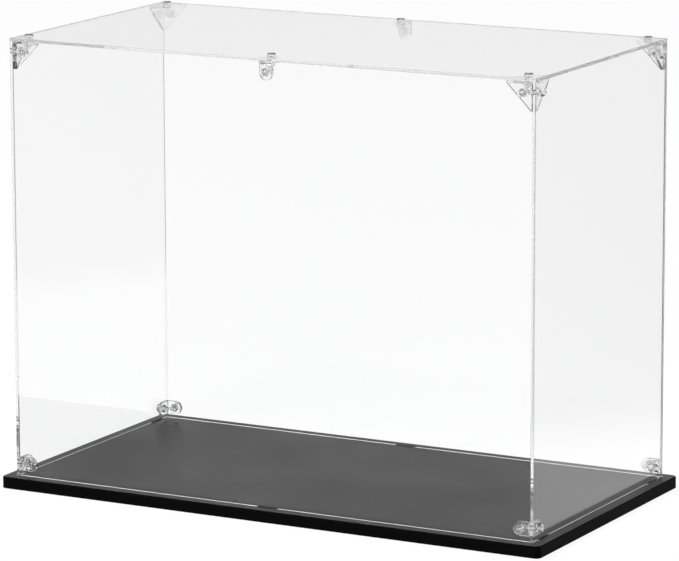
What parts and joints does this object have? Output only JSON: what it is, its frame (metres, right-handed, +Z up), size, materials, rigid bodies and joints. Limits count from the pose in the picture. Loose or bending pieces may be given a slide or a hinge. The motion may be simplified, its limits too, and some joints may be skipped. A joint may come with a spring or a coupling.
{
  "type": "display case",
  "caption": "Clear rectangular display case with a lift-off cover of flat sheets, corner brackets and screws, standing in slots in a black slab base.",
  "frame": {"origin": "centre of the underside of the base", "axes": "+Z up, -Y is the front, +X to the right seen from the front, along the long side"},
  "size_m": [0.406, 0.216, 0.3101],
  "materials": {
    "black_base": "satin black sheet",
    "clear_sheet": "polished clear sheet",
    "clear_bracket": "clear moulded",
    "clear_screw": "clear moulded"
  },
  "bodies": {
    "base": {"base_upper_layer": "black_base", "base_lower_layer": "black_base"},
    "cover": {"front_panel": "clear_sheet", "back_panel": "clear_sheet", "left_panel": "clear_sheet", "right_panel": "clear_sheet", "top_panel": "clear_sheet", "front_left_top_bracket": "clear_bracket", "front_right_top_bracket": "clear_bracket", "back_left_top_bracket": "clear_bracket", "back_right_top_bracket": "clear_bracket", "front_middle_bracket": "clear_bracket", "back_middle_bracket": "clear_bracket", "front_left_foot_bracket": "clear_bracket", "front_right_foot_bracket": "clear_bracket", "back_left_foot_bracket": "clear_bracket", "back_right_foot_bracket": "clear_bracket", "top_screws": "clear_screw", "front_screws": "clear_screw", "back_screws": "clear_screw", "left_screws": "clear_screw", "right_screws": "clear_screw"}
  },
  "joints": [
    {"name": "cover_lift", "type": "slide", "parent": "base", "child": "cover", "axis": [0, 0, 1], "range_m": [0, 0.31]}
  ]
}
